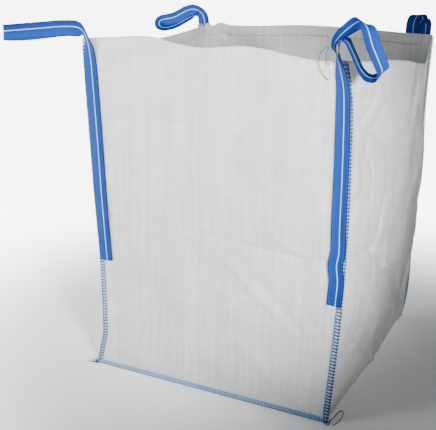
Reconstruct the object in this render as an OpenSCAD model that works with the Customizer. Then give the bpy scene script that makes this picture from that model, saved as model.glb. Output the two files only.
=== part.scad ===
/* [Bag] */
// Width across the front, from seam edge to seam edge
bag_w = 900; // [880:10:920]
// Depth, from the front panel to the back panel
bag_d = 900; // [880:10:920]
// Standing height of the panels at the front corners
bag_h = 1180; // [1160:10:1200]
// Thickness of the woven fabric, as modelled
cloth_t = 1.5; // [1.5:0.1:1.8]
// Width of the seam flange that stands out all round the front and back panels
flange_w = 24; // [20:1:28]
// Outward bow of the right wall at its middle
right_bow = 52; // [30:2:60]
// Inward sag of the left wall at its middle
left_bow = 14; // [0:2:30]
/* [Hems] */
// Height of the folded rim hem
hem_h = 38; // [30:1:45]
// Thickness of a stitched thread line
thread_t = 0.8; // [0.6:0.1:0.8]
/* [Webbing] */
// Width of the lifting webbing
web_w = 50; // [44:1:52]
// Thickness of the lifting webbing
web_t = 2; // [1.6:0.1:2.2]
// Distance between the middle planes of two stacked webbing legs
leg_gap = 2.6; // [2.6:0.1:3]
/* [Thread tails] */
// Diameter of the loose thread tails
tail_d = 3; // [2:0.5:3]
/* [Hidden] */

half_w = bag_w / 2;
half_d = bag_d / 2;
corner_fl = [-half_w, -half_d, bag_h];
corner_fr = [half_w, -half_d, bag_h];
corner_bl = [-half_w, half_d, bag_h];
corner_br = [half_w, half_d, bag_h];
tail_r = tail_d / 2;

// Seam edges: how far each edge lies outside the nominal half width, at each height
edge_fl = [[0, 0], [130, -28], [420, -24], [640, -8], [820, 2], [1120, 17], [1300, 20]];
edge_fr = [[0, 6], [420, 30], [900, 33], [1080, 24], [1180, 4], [1300, 4]];
edge_bl = [[0, 0], [420, 14], [860, 40], [1090, 62], [1300, 66]];
edge_br = [[0, -4], [100, 12], [400, 18], [650, 31], [930, 26], [1180, 30], [1300, 30]];

// Rims: height above the bag height, along each panel
rim_front = [[-480, 14], [-330, 24], [-180, 36], [-30, 10], [110, 24], [275, 8], [360, -4], [490, 0]];
rim_back = [[-520, -8], [-370, 0], [-50, 14], [200, 12], [380, 4], [490, 2]];
rim_left = [[-450, 14], [-250, -10], [0, -25], [250, -15], [450, -8]];
rim_right = [[-450, 0], [-340, -12], [-200, -20], [0, -42], [250, -78], [350, -84], [420, -60], [450, 2]];

function left_edge_front(z) = -half_w - lookup(z, edge_fl);
function right_edge_front(z) = half_w + lookup(z, edge_fr);
function left_edge_back(z) = -half_w - lookup(z, edge_bl);
function right_edge_back(z) = half_w + lookup(z, edge_br);
function unit(v) = v / norm(v);

// ---------- fabric panels ----------

edge_steps = [0, 65, 130, 280, 420, 530, 640, 820, 970, 1080, 1120, 1160];
rim_steps = [for (x = [-450:30:450]) x];

// Outline of a front or back panel in its own plane, drawn as [x, z]
function panel_outline(left, right, rim) =
    let (top_l = [left[len(left) - 1][0], bag_h + lookup(-half_w, rim)],
         top_r = [right[len(right) - 1][0], bag_h + lookup(half_w, rim)])
    concat(left, [top_l],
           [for (x = rim_steps) if (x > top_l[0] + 10 && x < top_r[0] - 10) [x, bag_h + lookup(x, rim)]],
           [top_r], [for (i = [len(right) - 1:-1:0]) right[i]]);

function front_outline() = panel_outline([for (z = edge_steps) [left_edge_front(z), z]],
                                         [for (z = edge_steps) [right_edge_front(z), z]], rim_front);
function back_outline() = panel_outline([for (z = edge_steps) [left_edge_back(z), z]],
                                        [for (z = edge_steps) [right_edge_back(z), z]], rim_back);

// A flat sheet standing upright, drawn as [x, z], from y to y + t
module upright(points, y, t) {
    translate([0, y + t, 0]) rotate([90, 0, 0]) linear_extrude(t) polygon(points);
}

// The folded hem behind a rim, between the two seam lines
function hem_outline(x0, x1, rim) =
    let (xs = [for (i = [0:20]) x0 + (x1 - x0) * i / 20])
    concat([for (x = xs) [x, bag_h + lookup(x, rim)]],
           [for (i = [20:-1:0]) [xs[i], bag_h + lookup(xs[i], rim) - hem_h]]);

module front_panel() {
    color("whitesmoke") {
        upright(front_outline(), -half_d - cloth_t, cloth_t);
        upright(hem_outline(left_edge_front(bag_h) + flange_w + 8, right_edge_front(bag_h) - flange_w - 8,
                            rim_front), -half_d, cloth_t);
    }
}

module back_panel() {
    color("whitesmoke") {
        upright(back_outline(), half_d, cloth_t);
        upright(hem_outline(left_edge_back(bag_h) + flange_w + 8, right_edge_back(bag_h) - flange_w - 8,
                            rim_back), half_d - cloth_t, cloth_t);
    }
}

// ---------- U-panel: left wall, base and right wall in one length ----------

wall_steps = [0.97, 0.9, 0.8, 0.68, 0.55, 0.42, 0.3, 0.2, 0.11];
wall_rows = [-400, -300, -200, -100, 0, 100, 200, 300, 380, 420];
base_steps = [-0.8, -0.4, 0, 0.4, 0.8];

// How far a wall bows at depth y and height share s: nothing at the seams, most in the middle
function bow(y, s) = (1 - pow(y / half_d, 2)) * (0.25 + 0.75 * sin(180 * min(1, 0.15 + s * 0.8)));
function wall_z(side, y, s) = s * (bag_h + lookup(y, side < 0 ? rim_left : rim_right));
function seam_x(side, y, z) =
    let (t = (y + half_d) / bag_d)
    side < 0
        ? left_edge_front(z) * (1 - t) + left_edge_back(z) * t + flange_w
        : right_edge_front(z) * (1 - t) + right_edge_back(z) * t - flange_w;
// The base hangs from the seams and lies on the floor inside them
function floor_share(y) = min(1, (half_d - abs(y)) / 50);
function base_z(y) = flange_w * (1 - floor_share(y)) + cloth_t * floor_share(y);

// The U-panel's flange ends a little inside the front and back panels' edges
tip_inset = 3;

// One station along the U: its inner points from the front flange tip to the back flange tip
function wall_station(side, s) =
    let (zf = wall_z(side, -half_d, s), zb = wall_z(side, half_d, s))
    concat([[(side < 0 ? left_edge_front(zf) : right_edge_front(zf)) - side * tip_inset, -half_d, zf],
            [seam_x(side, -half_d, zf), -half_d, zf]],
           [for (y = wall_rows)
               let (z = wall_z(side, y, s))
               [seam_x(side, y, z) + (side < 0 ? left_bow : right_bow) * bow(y, s), y, z]],
           [[seam_x(side, half_d, zb), half_d, zb],
            [(side < 0 ? left_edge_back(zb) : right_edge_back(zb)) - side * tip_inset, half_d, zb]]);
function corner_station(side) =
    concat([[(side < 0 ? left_edge_front(0) : right_edge_front(0)) - side * tip_inset, -half_d, 0],
            [seam_x(side, -half_d, 0), -half_d, flange_w]],
           [for (y = wall_rows)
               [seam_x(side, y, 0) + side * (flange_w - 4) * floor_share(y), y, base_z(y)]],
           [[seam_x(side, half_d, 0), half_d, flange_w],
            [(side < 0 ? left_edge_back(0) : right_edge_back(0)) - side * tip_inset, half_d, 0]]);
function base_station(share) =
    let (x = share * half_w)
    concat([[x, -half_d, 0], [x, -half_d, flange_w]],
           [for (y = wall_rows) [x, y, base_z(y)]],
           [[x, half_d, flange_w], [x, half_d, 0]]);
function u_stations() = concat(
    [for (s = concat([1], wall_steps)) [wall_station(-1, s), [-1, 0, 0]]],
    [[corner_station(-1), [-1, 0, -1]]],
    [for (b = base_steps) [base_station(b), [0, 0, -1]]],
    [[corner_station(1), [1, 0, -1]]],
    [for (i = [len(wall_steps) - 1:-1:0]) [wall_station(1, wall_steps[i]), [1, 0, 0]]],
    [[wall_station(1, 1), [1, 0, 0]]]);
// Outer face of a station: the cloth thickness away, turned along Y on the two flanges
function outer_points(station) =
    let (p = station[0], n = station[1] * cloth_t, last = len(p) - 1)
    [for (j = [0:last])
        j == 0 ? p[0] + [0, cloth_t, 0]
        : j == 1 ? p[1] + n + [0, cloth_t, 0]
        : j == last - 1 ? p[j] + n - [0, cloth_t, 0]
        : j == last ? p[j] - [0, cloth_t, 0]
        : p[j] + n];

// A closed skin from two matching grids of points, one on each face of a sheet
module sheet_solid(inner, outer) {
    rows = len(inner);
    cols = len(inner[0]);
    shift = rows * cols;
    points = concat([for (r = inner) each r], [for (r = outer) each r]);
    faces = concat(
        [for (i = [0:rows - 2], j = [0:cols - 2])
            let (a = i * cols + j, b = a + cols) each [[a, a + 1, b + 1], [a, b + 1, b]]],
        [for (i = [0:rows - 2], j = [0:cols - 2])
            let (a = shift + i * cols + j, b = a + cols) each [[a, b + 1, a + 1], [a, b, b + 1]]],
        [for (j = [0:cols - 2])
            let (a = j, b = shift + j) each [[a, b, b + 1], [a, b + 1, a + 1]]],
        [for (j = [0:cols - 2])
            let (a = (rows - 1) * cols + j, b = shift + a) each [[a, b + 1, b], [a, a + 1, b + 1]]],
        [for (i = [0:rows - 2])
            let (a = i * cols, b = a + cols) each [[a, b, shift + b], [a, shift + b, shift + a]]],
        [for (i = [0:rows - 2])
            let (a = i * cols + cols - 1, b = a + cols) each [[a, shift + b, b], [a, shift + a, shift + b]]]);
    polyhedron(points, faces, convexity = 10);
}

module u_panel() {
    stations = u_stations();
    color("whitesmoke")
        sheet_solid([for (s = stations) s[0]], [for (s = stations) outer_points(s)]);
}

// ---------- overlock threads: they wrap the seam edges ----------

overlock_w = 15;
stack_t = 2 * cloth_t;

// A band along a vertical seam edge; inward is +1 when the panel lies to the right of the edge
module overlock_side(points, inward, y) {
    n = len(points);
    band = concat(points, [for (i = [n - 1:-1:0]) points[i] + [inward * overlock_w, 0]]);
    rim = concat(points, [for (i = [n - 1:-1:0]) points[i] - [inward * thread_t, 0]]);
    color("steelblue") {
        upright(band, y - thread_t, thread_t);
        upright(rim, y - thread_t, stack_t + 2 * thread_t);
        upright(band, y + stack_t, thread_t);
    }
}

module overlock_bottom(x0, x1, y) {
    color("steelblue")
        for (dy = [-thread_t, stack_t])
            translate([x0, y + dy, 0]) cube([x1 - x0, thread_t, overlock_w]);
}

overlock_steps = [overlock_w + 1, 65, 130, 280, 420, 530, 640, 820, 970, 1080, 1120, 1160];
module overlock_front_left() {
    overlock_side([for (z = overlock_steps) [left_edge_front(z), z]], 1, -half_d - cloth_t);
}
module overlock_front_right() {
    overlock_side([for (z = overlock_steps) [right_edge_front(z), z]], -1, -half_d - cloth_t);
}
module overlock_back_left() {
    overlock_side([for (z = overlock_steps) [left_edge_back(z), z]], 1, half_d - cloth_t);
}
module overlock_back_right() {
    overlock_side([for (z = overlock_steps) [right_edge_back(z), z]], -1, half_d - cloth_t);
}
module overlock_front_bottom() {
    overlock_bottom(left_edge_front(0), right_edge_front(0), -half_d - cloth_t);
}
module overlock_back_bottom() {
    overlock_bottom(left_edge_back(0), right_edge_back(0), half_d - cloth_t);
}

// ---------- swept strips and threads ----------

// Smooth curve through points of any size, with n steps between neighbours
function curve_at(p, i, t) =
    let (last = len(p) - 1, b = p[i], c = p[i + 1],
         a = i > 0 ? p[i - 1] : 2 * b - c, d = i + 1 < last ? p[i + 2] : 2 * c - b)
    0.5 * (2 * b + (c - a) * t + (2 * a - 5 * b + 4 * c - d) * t * t + (3 * b - a - 3 * c + d) * t * t * t);
function curve(p, n) =
    concat([for (i = [0:len(p) - 2], k = [0:n - 1]) curve_at(p, i, k / n)], [p[len(p) - 1]]);

function place(p) = [p[0], p[1], p[2]];
function heading(p, i) =
    let (last = len(p) - 1) unit(place(p[min(last, i + 1)]) - place(p[max(0, i - 1)]));
// Width direction of a strip at a route point, made square to its heading
function across(p, i) =
    let (t = heading(p, i), w = [p[i][3], p[i][4], p[i][5]]) unit(w - t * (w * t));
function away(p, i) = cross(heading(p, i), across(p, i));
// A route with the width direction and the normal written out at every point
function framed(p) =
    [for (i = [0:len(p) - 1])
        let (w = across(p, i), n = away(p, i)) [p[i][0], p[i][1], p[i][2], w[0], w[1], w[2], n[0], n[1], n[2]]];
function width_of(q) = [q[3], q[4], q[5]];
function normal_of(q) = [q[6], q[7], q[8]];
// The same framed route, moved to one side along its normal
function beside(p, d) =
    [for (q = p) let (c = place(q) + d * normal_of(q))
        [c[0], c[1], c[2], q[3], q[4], q[5], q[6], q[7], q[8]]];

// A strip of rectangular section along a framed route; out moves it along the normal, side across the width
module strip(p, w, t, out = 0, side = 0) {
    inner = [for (q = p)
        let (c = place(q) + (out - t / 2) * normal_of(q) + side * width_of(q), v = width_of(q) * w / 2)
        [c - v, c + v]];
    outer = [for (q = p)
        let (c = place(q) + (out + t / 2) * normal_of(q) + side * width_of(q), v = width_of(q) * w / 2)
        [c - v, c + v]];
    sheet_solid(outer, inner);
}

// A round tube with flat ends along a route
module tube(p, r, sides = 8) {
    n = len(p);
    up = [0.31, 0.17, 0.93];
    rings = [for (i = [0:n - 1])
        let (t = heading(p, i), u = unit(cross(t, up)), v = cross(t, u))
        for (k = [0:sides - 1]) place(p[i]) + r * (cos(360 * k / sides) * u + sin(360 * k / sides) * v)];
    walls = [for (i = [0:n - 2], k = [0:sides - 1])
        let (a = i * sides + k, b = i * sides + (k + 1) % sides)
        each [[a, b, b + sides], [a, b + sides, a + sides]]];
    polyhedron(rings, concat([[for (k = [sides - 1:-1:0]) k]], walls,
                             [[for (k = [0:sides - 1]) (n - 1) * sides + k]]), convexity = 10);
}

// ---------- hem threads ----------

hem_line = hem_h - 4;
function panel_thread(x0, x1, y, rim) =
    [for (i = [0:20])
        let (x = x0 + (x1 - x0) * i / 20) [x, y, bag_h + lookup(x, rim) - hem_line]];
function wall_thread(side) =
    [for (y = [-390:30:390])
        let (z = wall_z(side, y, 1) - hem_line, s = 1 - hem_line / bag_h)
        [seam_x(side, y, z) + (side < 0 ? left_bow : right_bow) * bow(y, s) + side * (cloth_t + 1.2), y, z]];

module hem_thread_front() {
    color("aliceblue")
        tube(panel_thread(left_edge_front(bag_h) + 80, right_edge_front(bag_h) - 80,
                          -half_d - cloth_t - thread_t / 2, rim_front), thread_t / 2, 6);
}
module hem_thread_back() {
    color("aliceblue")
        tube(panel_thread(left_edge_back(bag_h) + 80, right_edge_back(bag_h) - 110,
                          half_d + cloth_t + thread_t / 2, rim_back), thread_t / 2, 6);
}
module hem_thread_left() { color("aliceblue") tube(wall_thread(-1), thread_t / 2, 6); }
module hem_thread_right() { color("aliceblue") tube(wall_thread(1), thread_t / 2, 6); }

// ---------- lifting webbing ----------
// Each route starts at the lower end of the first sewn leg and is given from the bag's own corner.
// A point is [x, y, z] and then the direction of the webbing's width.

leg_y_front = -cloth_t - 4.6;
leg_y_back = cloth_t + 2;
curve_n = 4;
// Room left between the end of the sewn legs and the loop that hinges there
hinge_gap = 9;

route_fl = [for (p = [
    [54, 0, -760, 1, 0, 0], [39, 0, -540, 1, 0, 0], [30, 0, -360, 1, 0, 0], [20, 0, -180, 1, 0, 0],
    [13, 0, -60, 1, 0, 0], [10, -4, -24, 0.98, -0.15, 0.1], [7, -12, 8, 0.92, -0.38, 0],
    [4, -17, 24, 0.45, -0.89, 0]])
    p + concat(corner_fl + [0, leg_y_front, 0], [0, 0, 0])];
eye_fl = [for (p = [
    [-14, -30, 44, 0.3, -0.5, 0.8], [-40, -40, 50, 0, 0, 1], [-77, -58, 48, 0, 0, 1],
    [-115, -76, 44, 0, 0, 1], [-175, -107, 38, 0, 0, 1], [-230, -137, 33, 0, 0, 1],
    [-246, -133, 31, 0, 0, 1], [-241, -121, 28, 0, 0, 1], [-187, -88, 29, 0, 0, 1],
    [-129, -56, 37, 0, 0, 1], [-84, -38, 44, 0, 0, 1], [-44, -27, 49, 0, 0, 1],
    [-18, -24, 46, 0.3, -0.5, 0.8]])
    p + concat(corner_fl, [0, 0, 0])];

route_fr = [for (p = [
    [3, 0, -760, 1, 0, 0], [3, 0, -480, 1, 0, 0], [2, 0, -260, 1, 0, 0], [1, 0, -140, 1, 0, 0],
    [-1, 0, -80, 1, 0, 0], [-7, -1, -40, 1, 0, 0], [-14, -3, -8, 1, 0, 0], [-17, -4, 4, 1, 0, 0]])
    p + concat(corner_fr + [0, leg_y_front, 0], [0, 0, 0])];
eye_fr = [for (p = [
    [-26, -16, 38, 0.5, -0.85, 0.1], [-27, -20, 58, 0.12, -0.9, 0.4],
    [-10, -29, 76, 0.12, -0.84, 0.5], [28, -52, 100, -0.04, -0.81, 0.58], [64, -75, 117, -0.5, -0.68, 0.53],
    [89, -88, 100, -0.65, -0.75, 0.05], [108, -96, 60, -0.56, -0.8, -0.2], [127, -96, 22, -0.53, -0.82, -0.25],
    [138, -91, -8, -0.4, -0.85, -0.3], [122, -80, -27, 0.1, -0.9, -0.4], [90, -66, -30, 0.25, -0.93, -0.3],
    [62, -52, -13, 0.05, -1, -0.1], [38, -40, 22, -0.05, -1, 0], [12, -30, 50, 0.1, -0.97, -0.15],
    [-8, -22, 54, 0.2, -0.95, -0.1], [-18, -16, 36, 0.5, -0.85, 0]])
    p + concat(corner_fr, [0, 0, 0])];

route_bl = [for (p = [
    [10, 0, -760, 1, 0, 0], [-5, 0, -540, 1, 0, 0], [-18, 0, -320, 1, 0, 0], [-32, 0, -120, 1, 0, 0],
    [-38, 1, -40, 1, 0, 0], [-40, 4, -4, 0.98, 0.2, 0], [-42, 10, 14, 0.7, 0.7, 0], [-43, 14, 30, 0.1, 0.99, 0]])
    p + concat(corner_bl + [0, leg_y_back, 0], [0, 0, 0])];
eye_bl = [for (p = [
    [-56, 16, 54, 0.5, 0.6, 0.6], [-87, 10, 60, 0.2, -0.1, 0.98],
    [-117, 3, 52, 0, -0.3, 0.95], [-144, -1, 38, 0, -0.3, 0.95], [-175, -7, 20, 0, -0.3, 0.95],
    [-207, -13, 12, 0, -0.3, 0.95], [-232, -17, 6, 0, -0.3, 0.95], [-243, -10, 0, 0, -0.3, 0.95],
    [-243, 4, -5, 0, -0.3, 0.95], [-230, 12, -8, 0, -0.3, 0.95], [-201, 14, -2, 0, -0.3, 0.95],
    [-166, 20, 10, 0, -0.3, 0.95], [-125, 28, 36, 0, -0.3, 0.95], [-88, 32, 48, 0.2, -0.1, 0.98],
    [-60, 26, 48, 0.5, 0.6, 0.6]])
    p + concat(corner_bl, [0, 0, 0])];

route_br = [for (p = [
    [-25, 0, -760, 1, 0, 0], [-30, 0, -480, 1, 0, 0], [-36, 0, -220, 1, 0, 0], [-42, 0, -60, 1, 0, 0],
    [-45, 1, 0, 1, 0, 0], [-46, 3, 36, 1, 0, 0], [-44, 9, 54, 1, 0, 0]])
    p + concat(corner_br + [0, leg_y_back, 0], [0, 0, 0])];
eye_br = [for (p = [
    [-38, 28, 75, 1, 0, 0], [-30, 46, 75, 1, 0, 0], [-26, 64, 55, 1, 0, 0], [-22, 74, 15, 1, 0, 0],
    [-20, 76, -60, 1, 0, 0], [-19, 74, -140, 1, 0, 0], [-18, 71, -185, 1, 0, 0], [-17, 61, -200, 1, 0, 0],
    [-15, 51, -185, 1, 0, 0], [-12, 48, -120, 1, 0, 0], [-10, 47, -50, 1, 0, 0], [-12, 48, 10, 1, 0, 0],
    [-20, 45, 46, 1, 0, 0], [-30, 34, 62, 1, 0, 0]])
    p + concat(corner_br, [0, 0, 0])];

function leg_first(route) = framed(curve(route, curve_n));
function leg_second(route) = beside(leg_first(route), leg_gap);
// A point of a leg's route moved on past its upper end
function past(leg, d) =
    let (last = len(leg) - 1, w = width_of(leg[last]), t = cross(w, normal_of(leg[last])))
    concat(place(leg[last]) + d * t, [w[0], w[1], w[2]]);
// The loop's own route: out of the first leg, round the eye and back into the second
function loop_route(route, eye) =
    let (a = leg_first(route), b = leg_second(route))
    concat([past(a, hinge_gap), past(a, hinge_gap + 9)], eye, [past(b, hinge_gap + 9), past(b, hinge_gap)]);

module leg(p) { color("royalblue") strip(p, web_w, web_t); }
module loop(route, eye) {
    color("dodgerblue") strip(framed(curve(loop_route(route, eye), curve_n)), web_w, web_t);
}

// Two long rows of stitches on the face of the outer leg
module stitching(p, out) {
    used = [for (q = p) if (q[2] > bag_h - 755 && q[2] < bag_h - 70) q];
    color("white")
        for (side = [-18, 18])
            strip(used, 1.2, thread_t, out, side);
}

module outer_leg_front_left() { leg(leg_first(route_fl)); }
module inner_leg_front_left() { leg(leg_second(route_fl)); }
module lifting_loop_front_left() { loop(route_fl, eye_fl); }
module leg_stitching_front_left() { stitching(leg_first(route_fl), -(web_t + thread_t) / 2); }
module outer_leg_front_right() { leg(leg_first(route_fr)); }
module inner_leg_front_right() { leg(leg_second(route_fr)); }
module lifting_loop_front_right() { loop(route_fr, eye_fr); }
module leg_stitching_front_right() { stitching(leg_first(route_fr), -(web_t + thread_t) / 2); }
module outer_leg_back_left() { leg(leg_second(route_bl)); }
module inner_leg_back_left() { leg(leg_first(route_bl)); }
module lifting_loop_back_left() { loop(route_bl, eye_bl); }
module leg_stitching_back_left() { stitching(leg_second(route_bl), (web_t + thread_t) / 2); }
module outer_leg_back_right() { leg(leg_second(route_br)); }
module inner_leg_back_right() { leg(leg_first(route_br)); }
module lifting_loop_back_right() { loop(route_br, eye_br); }
module leg_stitching_back_right() { stitching(leg_second(route_br), (web_t + thread_t) / 2); }

// ---------- loose thread tails ----------

tail_top_route = [for (p = [
    [-47, -9, -6], [-50, -11, -13], [-57, -13, -2], [-58, -16, 20], [-50, -20, 34], [-54, -24, 39],
    [-63, -26, 31], [-73, -24, 16], [-78, -20, -3], [-74, -15, -25], [-64, -11, -45],
    [-50, -8, -58]]) p + corner_fr];
tail_fl_route = [[-454, -457, 4], [-462, -459, 3], [-472, -460, 2], [-484, -460, 2], [-496, -456, 2]];
tail_fr_route = [[460, -446, 8], [462, -425, 4], [463, -395, 2], [465, -368, 2], [472, -356, 2], [481, -366, 2],
    [486, -396, 2], [484, -428, 2], [476, -456, 2]];

module thread_tail_top() { color("steelblue") tube(curve(tail_top_route, 3), tail_r); }
module thread_tail_front_left() { color("slategray") tube(curve(tail_fl_route, 4), tail_r); }
module thread_tail_front_right() { color("steelblue") tube(curve(tail_fr_route, 4), tail_r); }

front_panel();
back_panel();
u_panel();
overlock_front_left();
overlock_front_right();
overlock_back_left();
overlock_back_right();
overlock_front_bottom();
overlock_back_bottom();
hem_thread_front();
hem_thread_back();
hem_thread_left();
hem_thread_right();
outer_leg_front_left();
inner_leg_front_left();
lifting_loop_front_left();
leg_stitching_front_left();
outer_leg_front_right();
inner_leg_front_right();
lifting_loop_front_right();
leg_stitching_front_right();
outer_leg_back_left();
inner_leg_back_left();
lifting_loop_back_left();
leg_stitching_back_left();
outer_leg_back_right();
inner_leg_back_right();
lifting_loop_back_right();
leg_stitching_back_right();
thread_tail_top();
thread_tail_front_left();
thread_tail_front_right();
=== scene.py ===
"""Looks of the bulk bag: woven panels, overlock seams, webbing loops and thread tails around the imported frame."""

import math

import bpy
import numpy as np
from mathutils import Matrix, Vector


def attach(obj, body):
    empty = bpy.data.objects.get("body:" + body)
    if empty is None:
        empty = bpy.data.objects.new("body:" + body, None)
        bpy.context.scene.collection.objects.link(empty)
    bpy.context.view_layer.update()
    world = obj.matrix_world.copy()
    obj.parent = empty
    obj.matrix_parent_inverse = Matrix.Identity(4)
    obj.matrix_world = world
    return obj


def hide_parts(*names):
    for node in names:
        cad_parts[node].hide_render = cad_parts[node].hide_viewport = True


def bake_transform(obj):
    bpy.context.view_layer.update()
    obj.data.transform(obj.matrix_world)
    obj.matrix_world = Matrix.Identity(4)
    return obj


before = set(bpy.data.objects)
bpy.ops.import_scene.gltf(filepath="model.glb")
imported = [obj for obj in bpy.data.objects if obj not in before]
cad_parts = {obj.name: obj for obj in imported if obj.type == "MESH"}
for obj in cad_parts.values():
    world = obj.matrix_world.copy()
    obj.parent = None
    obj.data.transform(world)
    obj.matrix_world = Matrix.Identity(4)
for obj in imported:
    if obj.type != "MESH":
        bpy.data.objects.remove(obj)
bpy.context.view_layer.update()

MM = 0.001

# ---------- driving sizes, in millimetres ----------

HALF_D = 450  # the front and back seam planes lie this far from the middle
BAG_H = 1180
CLOTH_T = 1.5
PANEL_OUT = 0.8  # the middle of the front and back cloth, outside its seam plane
FLANGE_IN = 0.9  # the middle of the flanges' cloth, inside the seam plane
FLANGE_W = 24
BACK_TURN = 20  # the back-right flange lies turned to the back, so the wall reaches this much further out
HEM_H = 38  # how deep the rim is folded in
BACK_HEM_H = 40
HEM_LINE = 36  # the hem's stitches run this far below the rim
NEAR_RIM = 1000  # the stitches mark the cloth only above this height
CREASE_BACK, CREASE_LEFT = 572, 585  # heights of the packing crease
WEB_W = 50
WEB_T = 2
LEG_GAP = 2.6  # from one sewn leg to the one over it
UV_FRONT, UV_BACK, UV_WALLS = 1000, 3000, 5000  # keeps the weave of one panel from repeating on the next

# Seam edges: [height, x of the edge]
EDGE_FL = [(0, -450), (65, -437), (130, -422), (190, -421), (420, -426), (640, -442), (820, -452), (1120, -467),
           (1200, -470)]
EDGE_FR = [(0, 455), (420, 480), (900, 483), (1080, 475), (1180, 456)]
EDGE_BL = [(0, -450), (420, -464), (860, -490), (1090, -512), (1200, -515)]
EDGE_BR = [(0, 446), (100, 462), (400, 468), (650, 481), (930, 476), (1180, 482)]

# Rims: [place along the panel, height]
RIM_FRONT = [(-475, 1194), (-330, 1206), (-230, 1215), (-180, 1214), (-110, 1200), (-30, 1190), (40, 1195),
             (110, 1203), (200, 1199), (275, 1187), (360, 1176), (460, 1180)]
RIM_BACK = [(-516, 1176), (-497, 1167), (-470, 1183), (-446, 1173), (-412, 1187), (-373, 1181), (-250, 1182),
            (-50, 1194), (200, 1192), (372, 1186), (485, 1184)]
RIM_LEFT = [(-450, 1194), (-250, 1172), (0, 1156), (250, 1162), (450, 1172)]
RIM_RIGHT = [(-450, 1180), (-340, 1168), (-200, 1158), (0, 1137), (200, 1106), (300, 1094), (370, 1092),
             (410, 1112), (436, 1158), (450, 1184)]


def table(x, rows):
    """Smooth look-up: a cubic curve through the rows, whose slope runs on from one row to the next."""
    xs = np.array([r[0] for r in rows], float)
    ys = np.array([r[1] for r in rows], float)
    x = np.clip(np.asarray(x, float), xs[0], xs[-1])
    i = np.clip(np.searchsorted(xs, x, side="right") - 1, 0, len(xs) - 2)
    slope = np.gradient(ys, xs)
    h = xs[i + 1] - xs[i]
    t = (x - xs[i]) / h
    return ((2 * t**3 - 3 * t**2 + 1) * ys[i] + (t**3 - 2 * t**2 + t) * h * slope[i]
            + (3 * t**2 - 2 * t**3) * ys[i + 1] + (t**3 - t**2) * h * slope[i + 1])


def ease(x, low, high):
    """0 before low, 1 after high, smooth between."""
    t = np.clip((np.asarray(x, float) - low) / (high - low), 0, 1)
    return t * t * (3 - 2 * t)


def bell(x, middle, width):
    """1 at the middle, falling to 0 on both sides."""
    return np.exp(-(((x - middle) / width) ** 2))


def ripple(a, b, seed, size):
    """Seeded smooth unevenness between -1 and 1, with features of the given size."""
    values = np.random.default_rng(seed).uniform(-1, 1, (64, 64))
    a, b = np.broadcast_arrays(np.asarray(a, float) / size + 100, np.asarray(b, float) / size + 100)
    i, j = np.floor(a).astype(int), np.floor(b).astype(int)
    u, v = a - i, b - j
    u, v = u * u * u * (u * (6 * u - 15) + 10), v * v * v * (v * (6 * v - 15) + 10)

    def corner(di, dj):
        return values[(i + di) % 64, (j + dj) % 64]

    return ((corner(0, 0) * (1 - u) + corner(1, 0) * u) * (1 - v)
            + (corner(0, 1) * (1 - u) + corner(1, 1) * u) * v)


def wrinkles(a, b, seed, size, lean=0.0, stretch=2.5):
    """Crisp creases between soft pillows, longer along the leaning direction."""
    along = a * math.sin(lean) + b * math.cos(lean)
    across = a * math.cos(lean) - b * math.sin(lean)
    across = across + 0.45 * size * ripple(a, b, seed + 1, size * 1.3)
    wide = np.abs(ripple(across, along / stretch, seed, size))
    narrow = np.abs(ripple(across, along / stretch, seed + 2, size / 2))
    full = 0.55  # a pillow is flat from here up
    return np.minimum(wide + 0.4 * narrow, full) / full


def folds(a, b, rows):
    """Soft folds: each row is [a0, b0, a1, b1, width, depth], a line on the cloth with its width and depth."""
    total = 0 * a
    for a0, b0, a1, b1, width, depth in rows:
        length = math.hypot(a1 - a0, b1 - b0)
        ta, tb = (a1 - a0) / length, (b1 - b0) / length
        along = (a - a0) * ta + (b - b0) * tb
        off = -(a - a0) * tb + (b - b0) * ta
        fade = ease(along, -0.15 * length, 0.25 * length) * (1 - ease(along, 0.7 * length, 1.15 * length))
        total = total + depth * fade * np.exp(-((off / width) ** 2))
    return total


# ---------- making meshes ----------

def new_mesh(name, verts, faces, uvs=None, material=None, face_slots=None):
    """A smooth-shaded mesh object; points and uvs are in millimetres."""
    mesh = bpy.data.meshes.new(name)
    points = [tuple(v) for v in np.asarray(verts, float) * MM]
    mesh.from_pydata(points, [], [tuple(map(int, f)) for f in faces])
    if uvs is not None:
        layer = mesh.uv_layers.new(name="UVMap")
        loops = np.empty(len(mesh.loops), int)
        mesh.loops.foreach_get("vertex_index", loops)
        layer.data.foreach_set("uv", (np.asarray(uvs, float) * MM)[loops].ravel())
    for m in material if isinstance(material, (list, tuple)) else [material]:
        mesh.materials.append(m)
    if face_slots is not None:
        mesh.polygons.foreach_set("material_index", np.asarray(face_slots, int))
    mesh.polygons.foreach_set("use_smooth", [True] * len(mesh.polygons))
    mesh.update()
    obj = bpy.data.objects.new(name, mesh)
    bpy.context.scene.collection.objects.link(obj)
    return obj


def grid_faces(rows, cols, flip=False):
    """Four-cornered faces over a grid of points."""
    i, j = np.meshgrid(np.arange(rows - 1), np.arange(cols - 1), indexing="ij")
    a = (i * cols + j).ravel()
    quads = np.stack([a, a + 1, a + cols + 1, a + cols], 1)
    return quads[:, ::-1] if flip else quads


def apply(obj, kind, **settings):
    """Adds one modifier and bakes it into the mesh."""
    modifier = obj.modifiers.new(kind.title(), kind)
    for key, value in settings.items():
        setattr(modifier, key, value)
    graph = bpy.context.evaluated_depsgraph_get()
    baked = bpy.data.meshes.new_from_object(obj.evaluated_get(graph))
    old = obj.data
    obj.modifiers.clear()
    obj.data = baked
    baked.name = old.name
    bpy.data.meshes.remove(old)


def cloth_sheet(name, points, uvs, flip, material):
    """A grid of points made into cloth with its real thickness; points is rows x cols x 3."""
    rows, cols = points.shape[:2]
    obj = new_mesh(name, points.reshape(-1, 3), grid_faces(rows, cols, flip), uvs.reshape(-1, 2), material)
    apply(obj, "SOLIDIFY", thickness=1.1 * MM, offset=0.0)
    return obj


# ---------- materials ----------

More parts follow.
